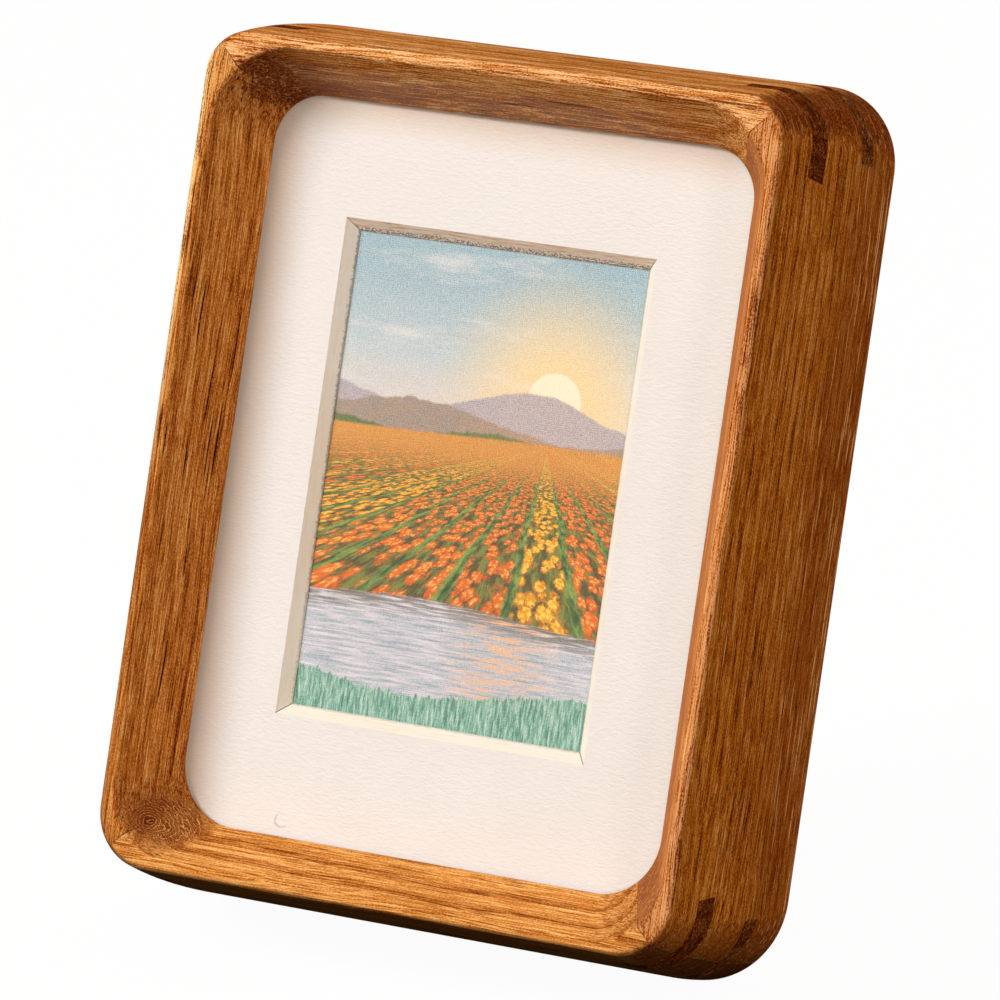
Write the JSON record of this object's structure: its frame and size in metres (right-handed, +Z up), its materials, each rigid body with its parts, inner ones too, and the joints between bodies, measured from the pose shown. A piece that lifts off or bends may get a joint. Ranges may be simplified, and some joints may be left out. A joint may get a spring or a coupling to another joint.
{
  "type": "tabletop photo frame",
  "caption": "Deep-sided wooden tabletop photo frame with splayed inner walls, splined mitres, a bevelled window mat and a hinged easel strut.",
  "frame": {"origin": "on the table, under the middle of the standing frame's bounding box", "axes": "+X to the right seen from the front, -Y out of the front, +Z up; the frame leans back 18 degrees towards +Y"},
  "size_m": [0.12, 0.094, 0.1548],
  "materials": {
    "oiled_wood": "oiled, golden brown, straight grain with dark pores",
    "dark_wood": "oiled, dark brown",
    "pale_wood": "raw softwood",
    "clear_sheet": "clear, thin, low glare",
    "mat_board": "matt, warm off-white, fine paper tooth",
    "print_paper": "satin print",
    "grey_card": "matt",
    "hardboard": "dark brown hardboard",
    "brass": "plated, satin",
    "steel": "zinc plated"
  },
  "bodies": {
    "frame": {"rail_top": "oiled_wood", "rail_bottom": "oiled_wood", "rail_left": "oiled_wood", "rail_right": "oiled_wood", "key_top_right_front": "dark_wood", "key_top_right_back": "dark_wood", "key_top_left_front": "dark_wood", "key_top_left_back": "dark_wood", "key_bottom_left_front": "dark_wood", "key_bottom_left_back": "dark_wood", "key_bottom_right_front": "dark_wood", "key_bottom_right_back": "dark_wood", "glazing": "clear_sheet", "mat_board": "mat_board", "photo_print": "print_paper", "filler_card": "grey_card", "spacer_top": "pale_wood", "spacer_bottom": "pale_wood", "spacer_left": "pale_wood", "spacer_right": "pale_wood", "backing_board": "hardboard", "button_screw_upper_left": "steel", "button_screw_upper_right": "steel", "button_screw_lower_left": "steel", "button_screw_lower_right": "steel", "hinge_bracket": "brass", "hinge_pin": "steel", "bracket_rivet_left": "steel", "bracket_rivet_right": "steel"},
    "strut": {"easel_strut": "hardboard", "hinge_leaf": "brass", "leaf_rivet_left": "steel", "leaf_rivet_right": "steel"},
    "button_upper_left": {"turn_button_upper_left": "brass"},
    "button_upper_right": {"turn_button_upper_right": "brass"},
    "button_lower_left": {"turn_button_lower_left": "brass"},
    "button_lower_right": {"turn_button_lower_right": "brass"}
  },
  "joints": [
    {"name": "strut_fold", "type": "hinge", "parent": "frame", "child": "strut", "pos_m": [0, 0.02399, 0.10117], "axis": [-1, 0, 0], "range_deg": [0, 30]},
    {"name": "turn_upper_left", "type": "hinge", "parent": "frame", "child": "button_upper_left", "pos_m": [-0.0551, 0.02342, 0.10976], "axis": [0, 0.9511, -0.309], "continuous": true},
    {"name": "turn_upper_right", "type": "hinge", "parent": "frame", "child": "button_upper_right", "pos_m": [0.0551, 0.02342, 0.10976], "axis": [0, 0.9511, -0.309], "continuous": true},
    {"name": "turn_lower_left", "type": "hinge", "parent": "frame", "child": "button_lower_left", "pos_m": [-0.0551, -0.00006, 0.03748], "axis": [0, 0.9511, -0.309], "continuous": true},
    {"name": "turn_lower_right", "type": "hinge", "parent": "frame", "child": "button_lower_right", "pos_m": [0.0551, -0.00006, 0.03748], "axis": [0, 0.9511, -0.309], "continuous": true}
  ]
}
